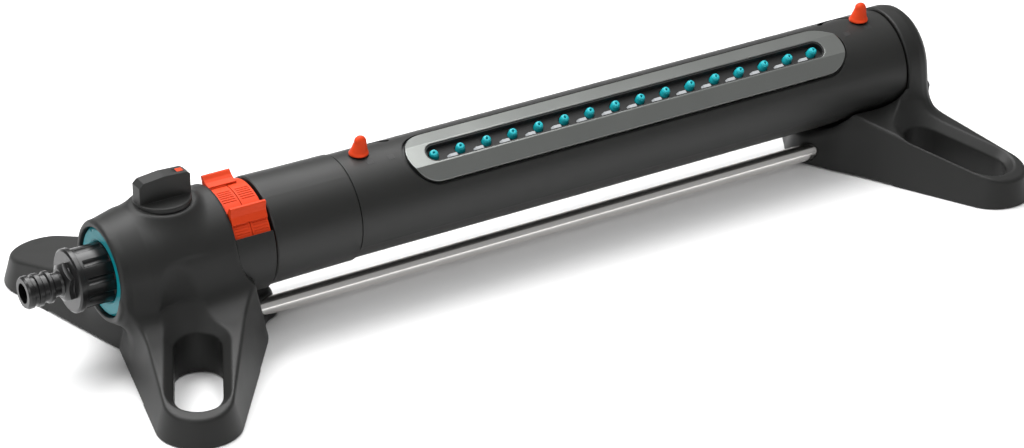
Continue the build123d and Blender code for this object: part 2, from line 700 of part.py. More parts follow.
def nozzle_tray():
    """The dark channel that the nozzles stand in."""
    width = CHANNEL_W - TOUCH
    walls = stadium(CHANNEL_X0 + TOUCH, CHANNEL_X1 - TOUCH, width, 22.6, 27.7)
    walls -= stadium(CHANNEL_X0 + 0.9, CHANNEL_X1 - 0.9, width - 0.9, 24.4, 40)
    flange = stadium(CHANNEL_X0 - 2.9, CHANNEL_X1 + 2.9, 9.9, 22.0, 23.6)
    tray = walls + flange
    for x, lean in nozzle_stations():
        tray -= Pos(x, 0, 22) * Rot(0, lean, 0) * Cylinder(2.9, 10)
    return tray


def nozzles():
    """The soft jet nozzles: tapered, round-tipped, with a fine bore."""
    profile = make_face(Polyline((0.55, 0, 0), (2.75, 0, 0), (2.55, 0, 3.2), (2.2, 0, 5.3),
                                 (1.7, 0, 6.2), (0.9, 0, 6.5), (0.55, 0, 6.1), close=True))
    jet = revolve(profile, Axis.Z)
    return Compound(children=[Pos(x, 0, 22) * Rot(0, lean, 0) * jet for x, lean in nozzle_stations()])


def shutter_tabs():
    """The pale tabs of the width shutters between the nozzles."""
    made = []
    for x, _ in nozzle_stations()[:-1]:
        outline = make_face(Polyline((-3.2, 0, 0), (3.2, 0, 0), (2.0, 0, 1.5), (-2.0, 0, 1.5),
                                     close=True))
        tab = extrude(outline, 2.4, dir=(0, -1, 0))
        made.append(Pos(x + PITCH * 0.62, -1.9, 24.4) * tab)
    return Compound(children=made)


def water_pipe():
    """The pressure pipe with its plenum under the nozzles and posts for the width levers."""
    pipe = rod_x(9.0, -111, 230)
    plenum = Pos(STRIP_X, 0, 14) * Box(CHANNEL_X1 - CHANNEL_X0 - 2, 10, 14.4)
    body = pipe + plenum
    for x in LEVER_X:
        body += lever_frame(x) * rod_z(2.5, 5, 20.4)
    for x in screw_stations():
        body += rod_z(3.5, -TUBE_R + WALL + 0.3, -6, x) - rod_z(1.45, -40, -8.9, x)
    body -= rod_x(7.4, -112, 228)
    body -= Pos(STRIP_X, 0, 14) * Box(CHANNEL_X1 - CHANNEL_X0 - 6, 6.6, 13)
    for x, lean in nozzle_stations():
        body -= Pos(x, 0, 22) * Rot(0, lean, 0) * Cylinder(0.8, 6)
    return body


def tube_hub():
    """The hub that joins pipe and sleeve and turns on the gearbox's outlet."""
    hub = rod_x(24.9, -117.5, -113) + rod_x(10.6, -113, -108) - rod_x(9.0 + TOUCH, -111, -100)
    hub -= rod_x(6.0 + FIT, -120, -100)
    for angle in range(0, 360, 60):
        y, z = polar(angle, 17)
        hub -= rod_x(3, -120, -112, y, z)
    return hub


def pipe_seal():
    """The O-ring between the gearbox's outlet and the pipe."""
    return torus_x(6.7, 0.62, -109.6)


def end_journal():
    """The tube's far end plug and the journal that turns in the end bush."""
    plug = rod_x(24.9, 230 + TOUCH, 236) + rod_x(8.0, 236, 251)
    return plug - rod_x(5.5, 240, 252)


def end_bush():
    """The bearing bush in the end housing."""
    return tube_x(11.0 - TOUCH, 8.0 + FIT, RING_X0 + 4.4, RING_X0 + 12.2)


def width_lever(index):
    """A width lever: a disc under the shell, a post through the slot and a thumb cap."""
    face = -1 if index == 0 else 1
    x = face * LEVER_ARM
    disc = rod_z(6.5, 17.4, 20.2) + Pos(x / 2, 0, 18.8) * Box(LEVER_ARM, 4.4, 2.8)
    arm = disc + rod_z(1.05, 17.4, 29, x)
    return arm - rod_z(2.5 + FIT, 0, 40)


def lever_cap(index):
    """The thumb cap: a round skirt with a leaning fin."""
    face = -1 if index == 0 else 1
    x = face * LEVER_ARM
    skirt = Pos(x, 0, 28.0) * Cone(5.2, 4.4, 2.2, align=UP)
    fin = make_face(Polyline((x - 3.4, 0, 29.5), (x + 3.8, 0, 29.5), (x + 3.2, 0, 36.2),
                             (x + 1.4, 0, 37.6), (x - 0.8, 0, 37.2), close=True))
    body = skirt + Pos(0, 3.0, 0) * extrude(fin, 6.0, dir=(0, -1, 0))
    return body - rod_z(1.05 + TOUCH, 20, 29.02, x)


def on_lever(index, shape):
    """Place a width lever's piece on the tube."""
    return on_tube(lever_frame(LEVER_X[index]) * shape)


def steel_rod():
    """The bright rod that ties the two feet."""
    rod = rod_x(ROD_R - TOUCH, ROD_X0, ROD_X1, ROD_Y, ROD_Z)
    return chamfer(rod.edges().filter_by(GeomType.CIRCLE), 0.6)


def main():
    os.makedirs("parts", exist_ok=True)
    save("inlet_housing", inlet_housing())
    save("inlet_base_cover", cover(-193.0, 48.0, 36.0, 40.0, 28.0))
    save("inlet_cover_screws", screws(-193.0, 40.0, 28.0))
    save("end_housing", end_housing())
    save("end_base_cover", cover(232.0, 34.0, 36.0, 26.0, 28.0))
    save("end_cover_screws", screws(232.0, 26.0, 28.0))
    save("steel_rod", steel_rod())
    save("inlet_connector", on_axis(inlet_connector()))
    save("connector_nut", on_axis(connector_nut()))
    save("filter_ring", on_axis(filter_ring()))
    save("filter_basket", on_axis(filter_basket()))
    save("valve_body", on_axis(valve_body()))
    save("turbine_plate", on_axis(turbine_plate()))
    save("gearbox_case", on_axis(gearbox_case()))
    save("bearing_plate", on_axis(bearing_plate()))
    save("shaft_support", on_axis(shaft_support()))
    save("sector_collar", on_axis(sector_collar()))
    save("end_bush", on_axis(end_bush()))
    save("flow_knob", on_axis(flow_knob()))
    save("flow_pointer", on_axis(pointer_block()))
    save("valve_spindle", on_axis(valve_spindle()))
    save("spindle_seal", on_axis(spindle_seal()))
    save("sector_stop_back", on_axis(sector_stop_back()))
    save("sector_stop_front", on_axis(sector_stop_front()))
    save("reversing_lever", on_axis(reversing_lever()))
    save("turbine_wheel", on_axis(turbine_wheel()))
    save("turbine_shaft", on_axis(turbine_shaft()))
    save("reduction_wheel", on_axis(reduction_wheel()))
    save("output_pinion", on_axis(output_pinion()))
    save("reduction_shaft", on_axis(reduction_shaft()))
    save("inlet_sleeve", on_tube(inlet_sleeve()))
    save("drive_gear", on_tube(drive_gear()))
    save("tube_hub", on_tube(tube_hub()))
    save("pipe_seal", on_tube(pipe_seal()))
    save("water_pipe", on_tube(water_pipe()))
    save("tube_upper_shell", on_tube(tube_upper_shell()))
    save("tube_lower_shell", on_tube(tube_lower_shell()))
    save("tube_screws", on_tube(tube_screws()))
    save("nozzle_surround", on_tube(nozzle_surround()))
    save("nozzle_tray", on_tube(nozzle_tray()))
    save("nozzles", on_tube(nozzles()))
    save("shutter_tabs", on_tube(shutter_tabs()))
    save("end_journal", on_tube(end_journal()))
    for index, side in enumerate(("inlet", "far")):
        save(f"width_lever_{side}", on_lever(index, width_lever(index)))
        save(f"width_cap_{side}", on_lever(index, lever_cap(index)))


main()
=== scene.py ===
import json
from math import cos, radians, sin

import bpy
import numpy as np
from mathutils import Euler, Matrix, Vector


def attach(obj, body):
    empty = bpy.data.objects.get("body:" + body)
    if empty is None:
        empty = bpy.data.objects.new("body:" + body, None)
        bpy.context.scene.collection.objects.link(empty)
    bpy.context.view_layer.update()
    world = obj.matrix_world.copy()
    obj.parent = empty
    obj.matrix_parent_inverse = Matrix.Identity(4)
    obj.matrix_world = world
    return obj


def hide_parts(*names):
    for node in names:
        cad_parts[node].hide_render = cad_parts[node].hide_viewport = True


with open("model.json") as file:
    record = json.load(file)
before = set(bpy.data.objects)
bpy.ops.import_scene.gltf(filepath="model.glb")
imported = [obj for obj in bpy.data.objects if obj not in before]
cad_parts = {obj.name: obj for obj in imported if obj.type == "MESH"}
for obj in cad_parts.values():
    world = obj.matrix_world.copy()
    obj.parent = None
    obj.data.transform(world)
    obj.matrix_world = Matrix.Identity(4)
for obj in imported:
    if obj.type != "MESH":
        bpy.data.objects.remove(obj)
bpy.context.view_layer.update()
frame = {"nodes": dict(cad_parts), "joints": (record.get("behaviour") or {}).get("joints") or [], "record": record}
nodes = frame["nodes"]
MM = 0.001             # metres in a millimetre
FAR_OFF = 99.0         # a distance past any slot
BEYOND = 999.0         # a station past either end of the object

# Legs of both housings, in millimetres
AXIS_Z = 47.0          # height of the tube's axis
TIP_Y = 87.0           # centre of a leg's tip circle, out from the middle
TIP_R = 22.0
TIP_H = 13.6           # height of the top edge at the tip
TOP_SLOPE = 0.19       # rise of a leg's top for each millimetre inwards
WALL_LEAN = radians(15.0)
LEG_DIR = radians(27.0)
LEG_EDGE = 1.6         # rounding of a leg's top edge
LEG_SIDE = 3.2         # side wall of a hollow leg
LEG_SKIN = 3.0         # top wall of a hollow leg
HOLLOW_EDGE = 1.0
HOLLOW_Y = 33.0        # the legs are hollow from here outwards
SLOT_HALF_W = 12.0
SLOT_HALF_L = 29.5
SLOT_SHIFT = 22.5      # the slot's middle, in from the tip circle's centre
SLOT_LIP = 4.6         # chamfer round the slot's mouth
SLOT_ABOVE = 6.0       # the chamfer goes on widening this far above the leg
SLOT_EDGE = 0.7
SLOT_WALL = 2.5        # wall left outside the chamfer
CHAMFER_SCALE = 0.75   # brings the chamfer back near a true distance
BLEND_Y = 26.0         # a foot's sweep is at its widest from here outwards
BLEND_MIDDLE = 0.2     # and this much as wide where its two legs meet
TONGUE_ROOT_R = 30.0
TONGUE_TIP_R = 13.0
TONGUE_EDGE = 2.5
ARCH_H = 0.6           # shallow relief under each foot's middle
ARCH_Y = 55.0
ARCH_EDGE = 0.6
GROUND_EDGE = 0.8      # rounding where a foot meets the ground

# Each foot: its tip's x, its root (x, y, radius), the way it splays along X, its tongue (x, height,
# sweep), its sweep into the housing, and whether its back leg is without a slot
INLET_FOOT = {"tip_x": -225.0, "root": (-190.0, 12.0, 38.0), "side": -1,
              "tongue": (-150.0, 14.0, 6.0), "blend": 22.0, "plain_back": True}
END_FOOT = {"tip_x": 253.3, "root": (224.5, 12.0, 32.4), "side": 1,
            "tongue": (196.0, 15.0, 16.0), "blend": 24.0, "plain_back": False}

# Rod and base covers
ROD_Y = -9.0
ROD_Z = 7.4
ROD_R = 4.75
WELL_R = 1.5
WELL_TOP = 11.0
WELL_HALF_W = 14.0
POCKET_TOP = 3.15
POCKET_HALF_W = 18.02
INLET_COVER_X = -193.0
INLET_WELL_HALF_L = 20.0
INLET_POCKET_HALF_L = 24.02
INLET_ROD_X = -166.2   # the rod's hole starts here
END_COVER_X = 232.0
END_WELL_HALF_L = 13.0
END_POCKET_HALF_L = 17.02
END_ROD_X = 212.2      # the rod's hole ends here

# Inlet housing
KNOB_X = -198.0
FACE_X = -232.5
HOUSING_X1 = -171.5
BARREL_PROFILE = [(FACE_X - 1.5, 25.6), (FACE_X, 26.6), (FACE_X + 3.5, 27.0), (FACE_X + 4.3, 27.2),
                  (FACE_X + 14, 29.5), (FACE_X + 22, 30.2), (HOUSING_X1, 30.2)]
BORE_R = 26.5          # of both housings
BORE_X = FACE_X + 14   # the inlet housing's bore starts here
VALVE_BORE_R = 21.4
VALVE_BORE_X = FACE_X + 3
SEAT_R = 23.2          # seat of the filter ring
SEAT_X = FACE_X + 5
SEAT_EDGE = 0.6
NECK_R = 29.7          # nothing of the housing stands inside this past its end
BARREL_EDGE = 1.0
BOSS_R = 24.0          # knob boss at its foot
BOSS_TAPER = 0.51
BOSS_Z0 = 16.0         # heights on the boss are above the tube's axis
BOSS_ROOT_Z = 14.0
BOSS_Z1 = 30.2
BOSS_SCALE = 0.88      # brings the boss's cone back near a true distance
BOSS_EDGE = 1.2
BOSS_BLEND = 4.0
SPINDLE_R = 3.55
SPINDLE_Z0 = 20.0
SEAL_R = 5.1
SEAL_Z0 = 26.5

# End housing
RING_X0 = 239.3
RING_PROFILE = [(RING_X0, 28.9), (247.0, 28.9), (251.0, 27.9), (253.8, 25.3), (255.0, 20.9)]
RING_EDGE = 0.8
RING_BORE_X = 243.3
JOURNAL_R = 11.0
JOURNAL_X = 251.8
TUBE_ROOM_R = 29.1     # nothing of the housing stands inside this before the ring

# Boxes that the housings are sampled in
INLET_BOX = ((-250.0, -111.0, -1.5), (-133.0, 111.0, 80.0))
END_BOX = ((178.0, -111.0, -1.5), (278.0, 111.0, 80.0))

# Thumb caps, in a lever's own frame: along the tube, across it, and outward
LEVER_ARM = 11.5
CAP_Z = 29.5           # centre of the fin's round foot
CAP_RISE = 5.2
CAP_LEAN = 0.9
CAP_SQUEEZE = 1.2
CAP_R = 4.9
CAP_TAPER = 1.6
CAP_BLEND = 1.2
CAP_FLOOR = 28.05
CAP_FLOOR_EDGE = 0.3
SKIRT_Z = 28.0
SKIRT_R = 5.3
SKIRT_TAPER = 0.3
SKIRT_TOP = 29.0
SKIRT_EDGE = 0.6
POST_R = 1.1           # hole for the lever's post
CAP_REACH = 7.0
CAP_LOW = 27.0
CAP_HIGH = 40.0

# Marks on the tube: a dial tick is (x, from degrees, to degrees, width, radius, slot), and a width
# mark is (x, degrees)
TUBE_R = 27.5
DIAL_TICKS = {"dial_tick_a": (-143.6, 2.0, 24.0, 0.5, 28.33, "black_plastic"),
              "dial_tick_b": (-142.4, 14.0, 33.0, 0.4, 28.32, "shutter_plastic")}
WIDTH_MARKS = ((-85.4, 18.9), (-73.4, 19.8), (210.3, 19.6), (224.8, 17.6))
MARK_HALF_TURN = 3.2
MARK_W = 3.6
MARK_SUNK = 0.02       # a width mark's underside is this far inside the tube
MARK_THICK = 0.06
MARK_STEPS = 8

# Materials
GRAIN_MM = 0.25
GRAIN_DEPTH_MM = 0.05
GRAIN_DETAIL = 2.0
MOTTLE_SCALE = 55.0
MOTTLE_DETAIL = 4.0
SMOOTHEST = 0.03
BEVEL_SAMPLES = 6

# Floor, sky, lights and camera, in metres and watts: a light is (place, size, power)
FLOOR_HALF = 6.0
FLOOR_COLOUR = (0.90, 0.90, 0.90, 1.0)
FLOOR_ROUGHNESS = 0.7
SKY_COLOUR = (1.0, 1.0, 1.0, 1.0)
SKY_STRENGTH = 0.34
LIGHT_TARGET = (0, 0, 0.03)
LIGHTS = {"key": ((-0.3, 0.75, 1.5), (2.2, 0.9), 46.0),
          "top": ((0.3, -0.1, 1.7), (1.6, 0.5), 14.0),
          "fill": ((-1.5, -0.9, 0.9), (0.8, 0.8), 5.0)}
CAMERA_AT = (-0.93176, -1.55199, 0.97244)
CAMERA_TILT = radians(62.0)
CAMERA_TURN = radians(-31.09)
LENS_MM = 136.99
SENSOR_MM = 36.0


# ---- Signed distances on a grid, in millimetres ----

def smooth_min(a, b, k):
    """Blend two solids with a fillet about k wide."""
    h = np.clip(0.5 + 0.5 * (b - a) / k, 0.0, 1.0)
    return b + (a - b) * h - k * h * (1.0 - h)


def smooth_max(a, b, k):
    """Intersect two solids with a rounded edge about k wide."""
    return -smooth_min(-a, -b, k)


def segment(px, py, ax, ay, bx, by, ra, rb):
    """Distance to the hull of two circles in plan."""
    length = np.hypot(bx - ax, by - ay)
    ux, uy = (bx - ax) / length, (by - ay) / length
    along = (px - ax) * ux + (py - ay) * uy
    across = np.abs((px - ax) * uy - (py - ay) * ux)
    slope = (ra - rb) / length
    cosine = np.sqrt(1.0 - slope * slope)
    k = along * cosine - across * slope
    side = across * cosine + along * slope - ra
    near_a = np.hypot(along, across) - ra
    near_b = np.hypot(along - length, across) - rb
    return np.where(k < 0, near_a, np.where(k > length * cosine, near_b, side))


def lathe(x, r, points, edge):
    """Distance to a solid of revolution with a piecewise conical wall, and flat ends."""
    xs = np.array([p[0] for p in points])
    rs = np.array([p[1] for p in points])
    wall = r - np.interp(x, xs, rs)
    ends = np.maximum(xs[0] - x, x - xs[-1])
    return smooth_max(wall, ends, edge)


def cylinder_x(x, r, radius, x0, x1):
    """Distance to a cylinder along X; r is the distance from its axis."""
    return np.maximum(r - radius, np.maximum(x0 - x, x - x1))


def leg_field(x, y, z, tip_x, root, side, inset, drop, edge):
    """One pair of legs, mirrored across y = 0: splayed, with leaning walls and a sloping top."""
    ya = np.abs(y)
    root_x, root_y, root_r = root
    plan = segment(x, ya, tip_x, TIP_Y, root_x, root_y, TIP_R - inset, root_r - inset)
    wall = (plan + z * np.tan(WALL_LEAN)) * np.cos(WALL_LEAN)
    return smooth_max(wall, top_field(x, ya, z, tip_x, side) + drop, edge)


def inward(x, ya, tip_x, side):
    """How far a point lies in from the tip's outer edge, along the leg."""
    edge_x = tip_x + side * TIP_R * np.sin(LEG_DIR)
    edge_y = TIP_Y + TIP_R * np.cos(LEG_DIR)
    return (edge_y - ya) * np.cos(LEG_DIR) - (x - edge_x) * side * np.sin(LEG_DIR)


def top_field(x, ya, z, tip_x, side):
    """Distance above a leg's sloping top."""
    top = TIP_H + TOP_SLOPE * inward(x, ya, tip_x, side)
    return (z - top) / np.sqrt(1.0 + TOP_SLOPE * TOP_SLOPE)


def slot_plan(x, ya, tip_x, side):
    """Distance in plan to a leg's slot."""
    cx = tip_x - side * SLOT_SHIFT * np.sin(LEG_DIR)
    cy = TIP_Y - SLOT_SHIFT * np.cos(LEG_DIR)
    ux, uy = -side * np.sin(LEG_DIR), -np.cos(LEG_DIR)
    along = np.abs((x - cx) * ux + (ya - cy) * uy)
    across = np.abs((x - cx) * uy - (ya - cy) * ux)
    straight = SLOT_HALF_L - SLOT_HALF_W
    return np.hypot(np.maximum(along - straight, 0.0), across) - SLOT_HALF_W


def foot_field(x, y, z, body, tip_x, root, side, tongue, blend, plain_back):
    """Legs, tongue and body blended together, then hollowed and slotted; a plain back has no slot."""
    ya = np.abs(y)
    root_x = root[0]
    legs = leg_field(x, y, z, tip_x, root, side, 0.0, 0.0, LEG_EDGE)
    tongue_x, tongue_h, spread = tongue
    tongue_plan = segment(x, y, root_x, 0.0, tongue_x, 0.0, TONGUE_ROOT_R, TONGUE_TIP_R)
    low = (tongue_plan + z * np.tan(WALL_LEAN)) * np.cos(WALL_LEAN)
    low = smooth_max(low, z - tongue_h, TONGUE_EDGE)
    out = np.clip(ya / BLEND_Y, 0.0, 1.0)
    blend = blend * (BLEND_MIDDLE + (1.0 - BLEND_MIDDLE) * out * out * (3.0 - 2.0 * out))
    solid = smooth_min(smooth_min(legs, low, spread), body, blend)
    slot = slot_plan(x, ya, tip_x, side)
    if plain_back:
        slot = np.where(y > 0, FAR_OFF, slot)
    top = top_field(x, ya, z, tip_x, side)
    chamfer = slot - np.clip(SLOT_LIP + top, 0.0, SLOT_LIP + SLOT_ABOVE)
    solid = smooth_max(solid, -np.minimum(slot, chamfer * CHAMFER_SCALE), SLOT_EDGE)
    inner = leg_field(x, y, z, tip_x, root, side, LEG_SIDE, LEG_SKIN, HOLLOW_EDGE)
    hollow = np.maximum(np.maximum(inner, SLOT_LIP + SLOT_WALL - slot), HOLLOW_Y - ya)
    arch = np.maximum(z - ARCH_H, ya - ARCH_Y)
    solid = np.maximum(solid, -hollow)
    solid = smooth_max(solid, -arch, ARCH_EDGE)
    return smooth_max(solid, -z, GROUND_EDGE)


def surface_net(field, low, step):
    """A mesh of a sampled field's zero surface: one point a cell, one quad a crossed edge."""
    inside = field < 0
    shape = np.array(field.shape) - 1
    total = np.zeros((*shape, 3))
    count = np.zeros(shape)
    corners = [(i, j, k) for i in (0, 1) for j in (0, 1) for k in (0, 1)]
    for a in corners:
        for axis in range(3):
            if a[axis]:
                continue
            b = tuple(c + (n == axis) for n, c in enumerate(a))
            sa = tuple(slice(c, c + n) for c, n in zip(a, shape))
            sb = tuple(slice(c, c + n) for c, n in zip(b, shape))
            crossed = inside[sa] != inside[sb]
            fa, fb = field[sa][crossed], field[sb][crossed]
            point = np.tile(np.array(a, float), (fa.size, 1))
            point[:, axis] += fa / (fa - fb)
            total[crossed] += point
            count[crossed] += 1
    used = count > 0
    index = np.full(shape, -1)
    index[used] = np.arange(used.sum())
    cells = np.argwhere(used)
    verts = low + step * (cells + total[used] / count[used][:, None])
    faces = []
    for axis in range(3):
        u, v = (axis + 1) % 3, (axis + 2) % 3
        upper = [slice(None)] * 3
        lower = [slice(None)] * 3
        upper[axis], lower[axis] = slice(1, None), slice(None, -1)
        flip = inside[tuple(upper)] != inside[tuple(lower)]
        edges = np.argwhere(flip)
        edges = edges[(edges[:, u] > 0) & (edges[:, v] > 0)
                      & (edges[:, u] < shape[u]) & (edges[:, v] < shape[v])]
        quad = []
        for du, dv in ((1, 1), (0, 1), (0, 0), (1, 0)):
            cell = edges.copy()
            cell[:, u] -= du
            cell[:, v] -= dv
            quad.append(index[tuple(cell.T)])
        quad = np.stack(quad, 1)
        starts_inside = inside[tuple(edges.T)]
        quad[~starts_inside] = quad[~starts_inside][:, ::-1]
        faces.append(quad)
    return verts, np.concatenate(faces)


def add_mesh(name, verts_mm, faces):
    """A smooth-shaded mesh object from points in millimetres."""
    mesh = bpy.data.meshes.new(name)
    mesh.vertices.add(len(verts_mm))
    mesh.vertices.foreach_set("co", (np.asarray(verts_mm) * MM).astype(np.float32).ravel())
    faces = np.asarray(faces)
    mesh.loops.add(faces.size)
    mesh.loops.foreach_set("vertex_index", faces.ravel().astype(np.int32))
    mesh.polygons.add(len(faces))
    mesh.polygons.foreach_set("loop_start", (np.arange(len(faces)) * faces.shape[1]).astype(np.int32))
    mesh.update(calc_edges=True)
    mesh.validate()
    mesh.polygons.foreach_set("use_smooth", np.ones(len(mesh.polygons), bool))
    obj = bpy.data.objects.new(name, mesh)
    bpy.context.scene.collection.objects.link(obj)
    return obj


def sculpt(name, function, low, high, step):
    """A mesh of a signed distance function over a box."""
    axes = [np.arange(a, b + step, step) for a, b in zip(low, high)]
    x, y, z = np.meshgrid(*axes, indexing="ij")
    verts, faces = surface_net(function(x, y, z), np.array(low), step)
    return add_mesh(name, verts, faces)


def screw_wells(x, y, z, mid_x, half_l, half_w):
    """The holes that a base cover's screws run in."""
    r = np.hypot(np.abs(x - mid_x) - half_l, np.abs(y) - half_w)
    return np.maximum(r - WELL_R, z - WELL_TOP)


def cover_pocket(x, y, z, mid_x, half_l, half_w):
    """The recess that a base cover sits in."""
    return np.maximum(np.maximum(np.abs(x - mid_x) - half_l, np.abs(y) - half_w), z - POCKET_TOP)


def inlet_field(x, y, z):
    """The inlet housing."""
    zr = z - AXIS_Z
    r = np.hypot(y, zr)
    barrel = lathe(x, r, BARREL_PROFILE, BARREL_EDGE)
    rk = np.hypot(x - KNOB_X, y)
    cone = (rk - (BOSS_R - BOSS_TAPER * (zr - BOSS_Z0))) * BOSS_SCALE
    boss = smooth_max(cone, zr - BOSS_Z1, BOSS_EDGE)
    boss = np.maximum(boss, BOSS_ROOT_Z - zr)
    body = smooth_min(barrel, boss, BOSS_BLEND)
    solid = foot_field(x, y, z, body, **INLET_FOOT)
    solid = np.maximum(solid, -cylinder_x(x, r, BORE_R, BORE_X, BEYOND))
    solid = np.maximum(solid, -cylinder_x(x, r, VALVE_BORE_R, VALVE_BORE_X, BEYOND))
    solid = smooth_max(solid, -cylinder_x(x, r, SEAT_R, -BEYOND, SEAT_X), SEAT_EDGE)
    solid = np.maximum(solid, -np.maximum(rk - SPINDLE_R, SPINDLE_Z0 - zr))
    solid = np.maximum(solid, -np.maximum(rk - SEAL_R, SEAL_Z0 - zr))
    solid = np.maximum(solid, -cylinder_x(x, r, NECK_R, HOUSING_X1, BEYOND))
    rod = np.hypot(y - ROD_Y, z - ROD_Z)
    solid = np.maximum(solid, -cylinder_x(x, rod, ROD_R, INLET_ROD_X, BEYOND))
    solid = np.maximum(solid, -screw_wells(x, y, z, INLET_COVER_X, INLET_WELL_HALF_L, WELL_HALF_W))
    pocket = cover_pocket(x, y, z, INLET_COVER_X, INLET_POCKET_HALF_L, POCKET_HALF_W)
    return np.maximum(solid, -pocket)


def end_field(x, y, z):
    """The far end's housing."""
    zr = z - AXIS_Z
    r = np.hypot(y, zr)
    ring = lathe(x, r, RING_PROFILE, RING_EDGE)
    solid = foot_field(x, y, z, ring, **END_FOOT)
    solid = np.maximum(solid, -cylinder_x(x, r, BORE_R, -BEYOND, RING_BORE_X))
    solid = np.maximum(solid, -cylinder_x(x, r, JOURNAL_R, -BEYOND, JOURNAL_X))
    solid = np.maximum(solid, -cylinder_x(x, r, TUBE_ROOM_R, -BEYOND, RING_X0))
    rod = np.hypot(y - ROD_Y, z - ROD_Z)
    solid = np.maximum(solid, -cylinder_x(x, rod, ROD_R, -BEYOND, END_ROD_X))
    solid = np.maximum(solid, -screw_wells(x, y, z, END_COVER_X, END_WELL_HALF_L, WELL_HALF_W))
    pocket = cover_pocket(x, y, z, END_COVER_X, END_POCKET_HALF_L, POCKET_HALF_W)
    return np.maximum(solid, -pocket)


# ---- Materials ----

def linear(rgb):
    """Scene-linear values of a display colour."""
    return [c / 12.92 if c <= 0.04045 else ((c + 0.055) / 1.055) ** 2.4 for c in rgb]


def material(name, colour, roughness, metallic=0.0, grain=0.0, bevel_mm=0.0, specular=0.5,
             mottle=0.0):
    """A node material: moulded grain, faint mottling and softly rounded edges."""
    mat = bpy.data.materials.new(name)
    mat.use_nodes = True
    tree = mat.node_tree
    shader = tree.nodes["Principled BSDF"]
    shader.inputs["Base Color"].default_value = (*linear(colour), 1.0)
    shader.inputs["Roughness"].default_value = roughness
    shader.inputs["Metallic"].default_value = metallic
    shader.inputs["Specular IOR Level"].default_value = specular
    coords = tree.nodes.new("ShaderNodeTexCoord")
    if mottle:
        noise = tree.nodes.new("ShaderNodeTexNoise")
        noise.inputs["Scale"].default_value = MOTTLE_SCALE
        noise.inputs["Detail"].default_value = MOTTLE_DETAIL
        ramp = tree.nodes.new("ShaderNodeMapRange")
        ramp.inputs["To Min"].default_value = max(roughness - mottle, SMOOTHEST)
        ramp.inputs["To Max"].default_value = roughness + mottle
        tree.links.new(coords.outputs["Object"], noise.inputs["Vector"])
        tree.links.new(noise.outputs["Fac"], ramp.inputs["Value"])
        tree.links.new(ramp.outputs["Result"], shader.inputs["Roughness"])
    normal = None
    if bevel_mm:
        bevel = tree.nodes.new("ShaderNodeBevel")
        bevel.samples = BEVEL_SAMPLES
        bevel.inputs["Radius"].default_value = bevel_mm * MM
        normal = bevel.outputs["Normal"]
    if grain:
        fine = tree.nodes.new("ShaderNodeTexNoise")
        fine.inputs["Scale"].default_value = 1.0 / (GRAIN_MM * MM)
        fine.inputs["Detail"].default_value = GRAIN_DETAIL
        bump = tree.nodes.new("ShaderNodeBump")
        bump.inputs["Strength"].default_value = grain
        bump.inputs["Distance"].default_value = GRAIN_DEPTH_MM * MM
        tree.links.new(coords.outputs["Object"], fine.inputs["Vector"])
        tree.links.new(fine.outputs["Fac"], bump.inputs["Height"])
        if normal:
            tree.links.new(normal, bump.inputs["Normal"])
        normal = bump.outputs["Normal"]
    if normal:
        tree.links.new(normal, shader.inputs["Normal"])
    return mat


LOOKS = {
    "body_plastic": material("body_plastic_look", (0.12, 0.121, 0.118), 0.48, grain=0.35,
                             bevel_mm=0.5, mottle=0.05, specular=0.3),
    "tube_plastic": material("tube_plastic_look", (0.13, 0.131, 0.127), 0.42, grain=0.25,
                             bevel_mm=0.4, mottle=0.05, specular=0.34),
    "black_plastic": material("black_plastic_look", (0.10, 0.10, 0.10), 0.5, grain=0.3,
                              bevel_mm=0.2, mottle=0.05),
    "gloss_black": material("gloss_black_look", (0.03, 0.03, 0.032), 0.30, bevel_mm=0.4,
                            mottle=0.04),
    "orange_plastic": material("orange_plastic_look", (0.82, 0.24, 0.08), 0.5, grain=0.2,
                               bevel_mm=0.35, mottle=0.04, specular=0.18),
    "turquoise_plastic": material("turquoise_plastic_look", (0.0, 0.50, 0.54), 0.42, grain=0.2,
                                  bevel_mm=0.35, mottle=0.04, specular=0.25),
    "nozzle_rubber": material("nozzle_rubber_look", (0.03, 0.66, 0.70), 0.5, bevel_mm=0.3,
                              mottle=0.04),
    "seal_rubber": material("seal_rubber_look", (0.04, 0.04, 0.04), 0.6, mottle=0.03),
    "surround_trim": material("surround_trim_look", (0.60, 0.61, 0.60), 0.30, metallic=1.0,
                              grain=0.15, bevel_mm=0.35, mottle=0.04),
    "shutter_plastic": material("shutter_plastic_look", (0.66, 0.67, 0.68), 0.5, bevel_mm=0.2,
                                mottle=0.03),
    "gear_plastic": material("gear_plastic_look", (0.86, 0.86, 0.82), 0.45, mottle=0.03),
    "rod_steel": material("rod_steel_look", (0.93, 0.92, 0.91), 0.2, metallic=1.0, mottle=0.03),
    "fastener_steel": material("fastener_steel_look", (0.66, 0.66, 0.67), 0.3, metallic=1.0,
                               bevel_mm=0.15, mottle=0.03),
}
SLOTS = {part["node"]: part["material_slot"] for part in frame["record"]["subparts"]}


def dress(obj, slot):
    """Give an object one look on all its faces."""
    if not obj.material_slots:
        obj.data.materials.append(LOOKS[slot])
    for place in obj.material_slots:
        place.material = LOOKS[slot]


for node_name, node in nodes.items():
    dress(node, SLOTS[node_name])


def settle(obj, body, slot, *replaced):
    """Finish a new piece: its look, its body and the CAD nodes it stands for."""
    dress(obj, slot)
    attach(obj, body)
    if replaced:
        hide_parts(*replaced)


# ---- Housings ----

GRID = 0.7
settle(sculpt("inlet_housing_form", inlet_field, *INLET_BOX, GRID),
       "base", "body_plastic", "inlet_housing")
settle(sculpt("end_housing_form", end_field, *END_BOX, GRID),
       "base", "body_plastic", "end_housing")


# ---- Thumb caps of the width levers ----

